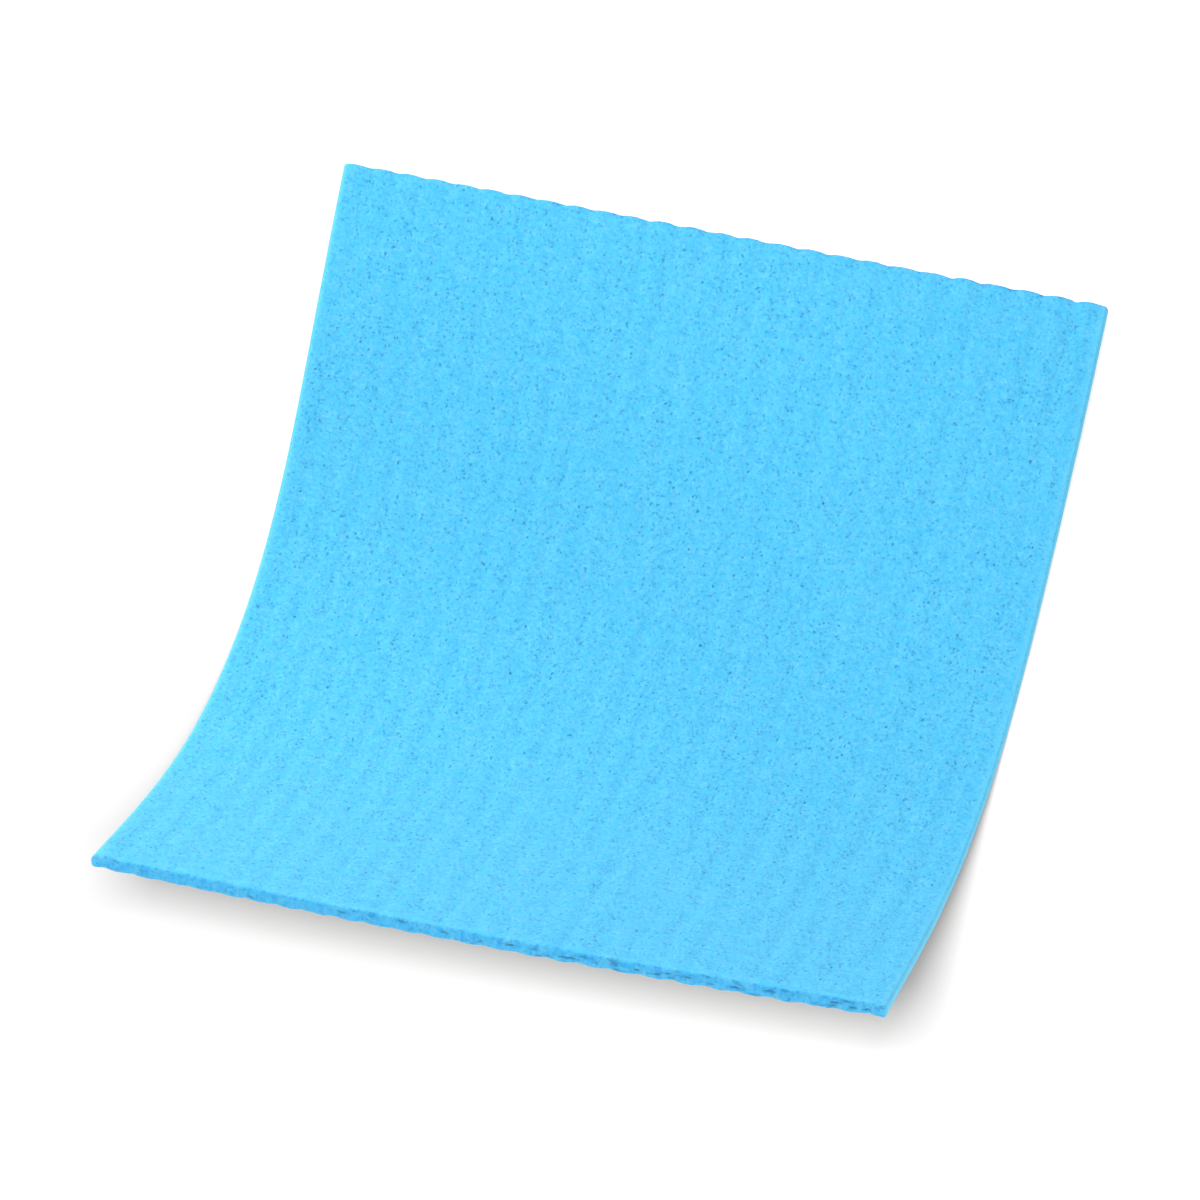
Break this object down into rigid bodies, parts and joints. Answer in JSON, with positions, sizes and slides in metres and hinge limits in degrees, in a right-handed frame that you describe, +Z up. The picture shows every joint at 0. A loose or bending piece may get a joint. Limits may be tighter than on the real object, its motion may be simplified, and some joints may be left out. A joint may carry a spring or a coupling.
{
  "type": "sponge cloth",
  "caption": "Rectangular cellulose sponge cloth with lengthwise ribs on both faces, dried into a curl so that its front and back edges rise.",
  "frame": {"origin": "bottom centre of the box around the cloth as it lies, on the surface that it rests on", "axes": "+X across the ribs to the cloth's right, +Y along the ribs from the front edge to the back edge, +Z up"},
  "size_m": [0.17, 0.192, 0.042],
  "materials": {
    "blue_sponge": "matt open-pored cellulose sponge, dyed sky blue"
  },
  "bodies": {
    "root": {"sponge_cloth": "blue_sponge"}
  },
  "joints": []
}
